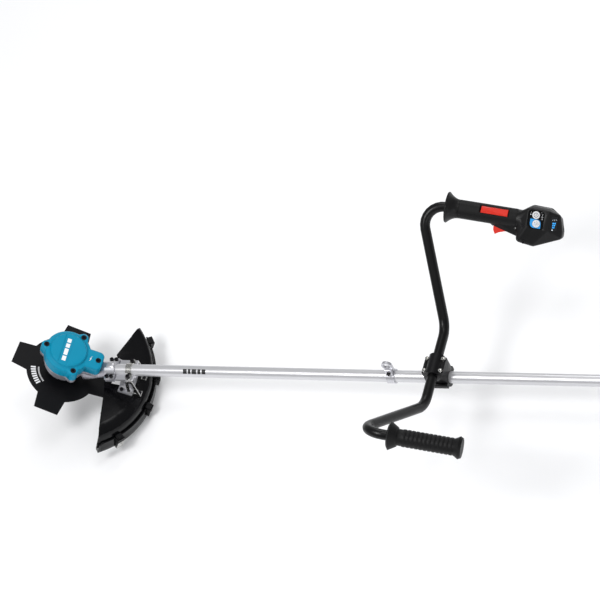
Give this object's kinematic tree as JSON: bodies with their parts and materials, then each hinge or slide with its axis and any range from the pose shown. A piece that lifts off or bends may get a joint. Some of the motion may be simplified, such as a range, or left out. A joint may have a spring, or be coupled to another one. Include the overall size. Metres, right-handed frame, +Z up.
{
  "type": "brush cutter",
  "caption": "Cordless brush cutter with front motor head, toothed metal blade, rear guard, straight shaft, bull horn handlebar with trigger grip and rear battery housing",
  "frame": {"origin": "centre of the eye of the harness hanger on the shaft", "axes": "+X along the shaft from the cutting head towards the operator, +Y to the operator's right, +Z up with the machine lying level on its guard and rear foot"},
  "size_m": [1.7847, 0.6479, 0.3737],
  "materials": {
    "teal_cover": "semi-gloss powder coat on die-cast cover",
    "teal_housing": "fine textured moulded plastic",
    "black_steel": "black oxide",
    "cast_aluminium": "blasted die casting",
    "copper_winding": "lacquered wire",
    "bearing_steel": "ground",
    "ring_steel": "turned",
    "rotor_steel": "laminated sheet",
    "blade_steel": "satin black lacquer, ground edges bright",
    "cup_steel": "dark pressed sheet",
    "nut_steel": "yellow passivated",
    "shaft_aluminium": "silver anodised",
    "guard_plastic": "glossy injection moulded",
    "black_plastic": "textured glass filled nylon",
    "zinc_steel": "bright zinc plate",
    "bar_paint": "satin black powder coat",
    "grip_rubber": "soft matt",
    "grip_plastic": "fine textured",
    "red_plastic": "satin moulded",
    "panel_black": "gloss film",
    "button_white": "silicone key with clear coat",
    "button_blue": "silicone key with clear coat",
    "display_glass": "smoked window",
    "circuit_board": "green laminate under resin",
    "foot_rubber": "moulded bumper"
  },
  "bodies": {
    "machine": {"motor_cover": "teal_cover", "cover_screws": "black_steel", "motor_housing": "cast_aluminium", "motor_stator": "copper_winding", "upper_bearing": "bearing_steel", "lower_bearing": "bearing_steel", "dust_ring": "ring_steel", "neck_clamp": "cast_aluminium", "neck_bolts": "black_steel", "main_pipe": "shaft_aluminium", "guard": "guard_plastic", "guard_skirt": "guard_plastic", "guard_clips": "black_plastic", "line_cutter": "ring_steel", "guard_bracket": "cast_aluminium", "guard_saddle": "zinc_steel", "guard_bolts": "black_steel", "guard_stay": "zinc_steel", "handle_base": "black_plastic", "handle_cap": "black_plastic", "handle_bolts": "zinc_steel", "pipe_collar": "black_plastic", "rear_housing_left": "teal_housing", "rear_housing_right": "teal_housing", "housing_screws": "black_steel", "controller": "circuit_board", "terminal_block": "black_plastic", "rear_foot": "foot_rubber"},
    "cutter": {"rotor": "rotor_steel", "spindle": "bearing_steel", "receiver_washer": "ring_steel", "blade": "blade_steel", "clamp_washer": "ring_steel", "cup": "cup_steel", "blade_nut": "nut_steel"},
    "handlebar_set": {"handlebar": "bar_paint", "left_grip": "grip_rubber", "grip_collar": "grip_plastic", "grip_shell_inner": "grip_plastic", "grip_shell_outer": "grip_plastic", "grip_overmould": "grip_rubber", "trigger_pin": "bearing_steel", "trigger_switch": "black_plastic", "lever_pin": "bearing_steel", "control_panel": "panel_black", "display_window": "display_glass", "grip_screws": "black_steel"},
    "trigger": {"trigger": "red_plastic"},
    "lock_off_lever": {"lock_off_lever": "red_plastic"},
    "power_button": {"power_button": "button_white"},
    "reverse_button": {"reverse_button": "button_blue"},
    "hanger_set": {"hanger": "zinc_steel", "hanger_bolt": "black_steel"},
    "battery": {"battery_pack": "black_plastic"},
    "battery_release": {"battery_button": "red_plastic"}
  },
  "joints": [
    {"name": "cutter_spin", "type": "hinge", "parent": "machine", "child": "cutter", "pos_m": [-0.79, 0, -0.04], "axis": [0.515, 0, 0.8572], "continuous": true},
    {"name": "handlebar_tilt", "type": "hinge", "parent": "machine", "child": "handlebar_set", "pos_m": [0.11, 0, -0.002], "axis": [0, 1, 0], "range_deg": [-15, 15]},
    {"name": "trigger_pull", "type": "hinge", "parent": "handlebar_set", "child": "trigger", "pos_m": [0.26935, 0.27468, 0.12471], "axis": [-0.1983, 0.6428, -0.7399], "range_deg": [0, 11], "stiffness_Nm_per_rad": 0.8, "springref_deg": -5.73},
    {"name": "lever_press", "type": "hinge", "parent": "handlebar_set", "child": "lock_off_lever", "pos_m": [0.25428, 0.2874, 0.15735], "axis": [-0.0449, -0.9848, -0.1677], "range_deg": [0, 7], "stiffness_Nm_per_rad": 0.5, "springref_deg": -5.73},
    {"name": "power_button_press", "type": "slide", "parent": "handlebar_set", "child": "power_button", "axis": [-0.1983, 0.6428, -0.7399], "range_m": [0, 0.001], "stiffness_N_per_m": 800},
    {"name": "reverse_button_press", "type": "slide", "parent": "handlebar_set", "child": "reverse_button", "axis": [-0.1983, 0.6428, -0.7399], "range_m": [0, 0.001], "stiffness_N_per_m": 800},
    {"name": "hanger_slide", "type": "slide", "parent": "machine", "child": "hanger_set", "axis": [1, 0, 0], "range_m": [-0.1, 0.06]},
    {"name": "battery_slide", "type": "slide", "parent": "machine", "child": "battery", "axis": [0, 0, 1], "range_m": [0, 0.09]},
    {"name": "battery_release_press", "type": "slide", "parent": "battery", "child": "battery_release", "axis": [0, 0, -1], "range_m": [0, 0.0025], "stiffness_N_per_m": 800}
  ]
}
